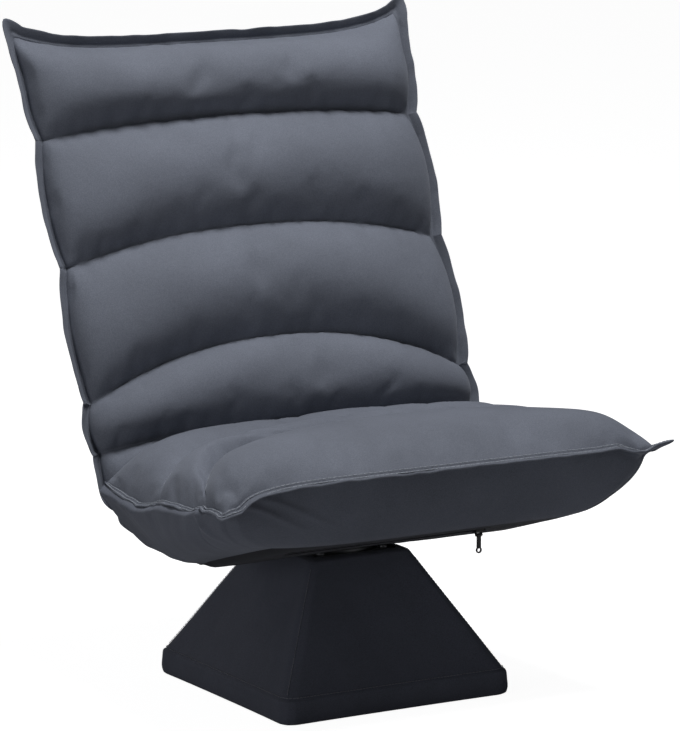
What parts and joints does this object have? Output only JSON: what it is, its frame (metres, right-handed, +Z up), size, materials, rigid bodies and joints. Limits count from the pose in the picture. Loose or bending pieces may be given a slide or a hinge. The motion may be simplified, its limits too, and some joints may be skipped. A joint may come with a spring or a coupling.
{
  "type": "floor chair",
  "caption": "Low padded floor chair on a square pyramid foot, with a channelled seat on a ball-bearing swivel and a channelled back on a ratchet hinge that folds flat.",
  "frame": {"origin": "on the swivel axis at the floor, at the centre of the middle floor pad's underside", "axes": "+Z up along the swivel axis, the sitter faces -Y, +X to the sitter's left"},
  "size_m": [0.524, 0.5373, 0.7174],
  "materials": {
    "cover_fabric": "smooth brushed polyester, dark slate grey",
    "lining_fabric": "thin black lining cloth",
    "foam": "cut foam",
    "frame_steel": "black powder coat",
    "plated_steel": "zinc plated",
    "cage_plastic": "moulded",
    "board": "raw board",
    "pad_rubber": "non-slip",
    "zip_metal": "black enamel"
  },
  "bodies": {
    "base": {"floor_pads": "pad_rubber", "base_board": "board", "board_screws": "plated_steel", "base_ring": "frame_steel", "base_legs": "frame_steel", "base_top_plate": "frame_steel", "base_cover": "cover_fabric", "swivel_lower_plate": "plated_steel", "lower_screws": "plated_steel", "lower_nuts": "plated_steel", "kingpin": "plated_steel", "kingpin_nut": "plated_steel"},
    "bearing": {"ball_cage": "cage_plastic", "swivel_balls": "plated_steel"},
    "seat": {"swivel_upper_plate": "plated_steel", "upper_screws": "plated_steel", "upper_nuts": "plated_steel", "seat_rails": "frame_steel", "seat_frame": "frame_steel", "hinge_cheeks": "plated_steel", "hinge_pins": "plated_steel", "pawl_pins": "plated_steel", "seat_straps": "lining_fabric", "seat_foam": "foam", "seat_cushion": "cover_fabric", "seat_lower_cover": "cover_fabric", "seat_bottom_panel": "lining_fabric", "zip_tape": "lining_fabric", "hinge_gusset": "cover_fabric"},
    "back": {"back_frame": "frame_steel", "back_rails": "frame_steel", "ratchet_left": "plated_steel", "ratchet_right": "plated_steel", "back_straps": "lining_fabric", "back_foam": "foam", "back_wadding": "foam", "back_cushion": "cover_fabric", "back_rear_cover": "cover_fabric"},
    "pawl_left_body": {"pawl_left": "plated_steel"},
    "pawl_right_body": {"pawl_right": "plated_steel"},
    "slider_body": {"zip_slider": "zip_metal"},
    "tab_body": {"zip_tab": "zip_metal"}
  },
  "joints": [
    {"name": "swivel", "type": "hinge", "parent": "base", "child": "seat", "pos_m": [0, 0, 0], "axis": [0, 0, 1], "continuous": true},
    {"name": "ball_ring", "type": "hinge", "parent": "base", "child": "bearing", "pos_m": [0, 0, 0], "axis": [0, 0, 1], "continuous": true},
    {"name": "recline", "type": "hinge", "parent": "seat", "child": "back", "pos_m": [0, 0.075, 0.19627], "axis": [-1, 0, 0], "range_deg": [-8, 68], "deforming": ["hinge_gusset"]},
    {"name": "pawl_left_pivot", "type": "hinge", "parent": "seat", "child": "pawl_left_body", "pos_m": [-0.19, 0.055, 0.18327], "axis": [1, 0, 0], "range_deg": [0, 9]},
    {"name": "pawl_right_pivot", "type": "hinge", "parent": "seat", "child": "pawl_right_body", "pos_m": [0.19, 0.055, 0.18327], "axis": [1, 0, 0], "range_deg": [0, 9]},
    {"name": "zip_slide", "type": "slide", "parent": "seat", "child": "slider_body", "axis": [1, 0, 0], "range_m": [-0.228, 0]},
    {"name": "zip_tab_swing", "type": "hinge", "parent": "slider_body", "child": "tab_body", "pos_m": [0.09, -0.15813, 0.18818], "axis": [1, 0, 0], "range_deg": [-60, 60]}
  ],
  "couplings": [
    {"joint": "ball_ring", "follows": "swivel", "ratio": 0.5}
  ]
}
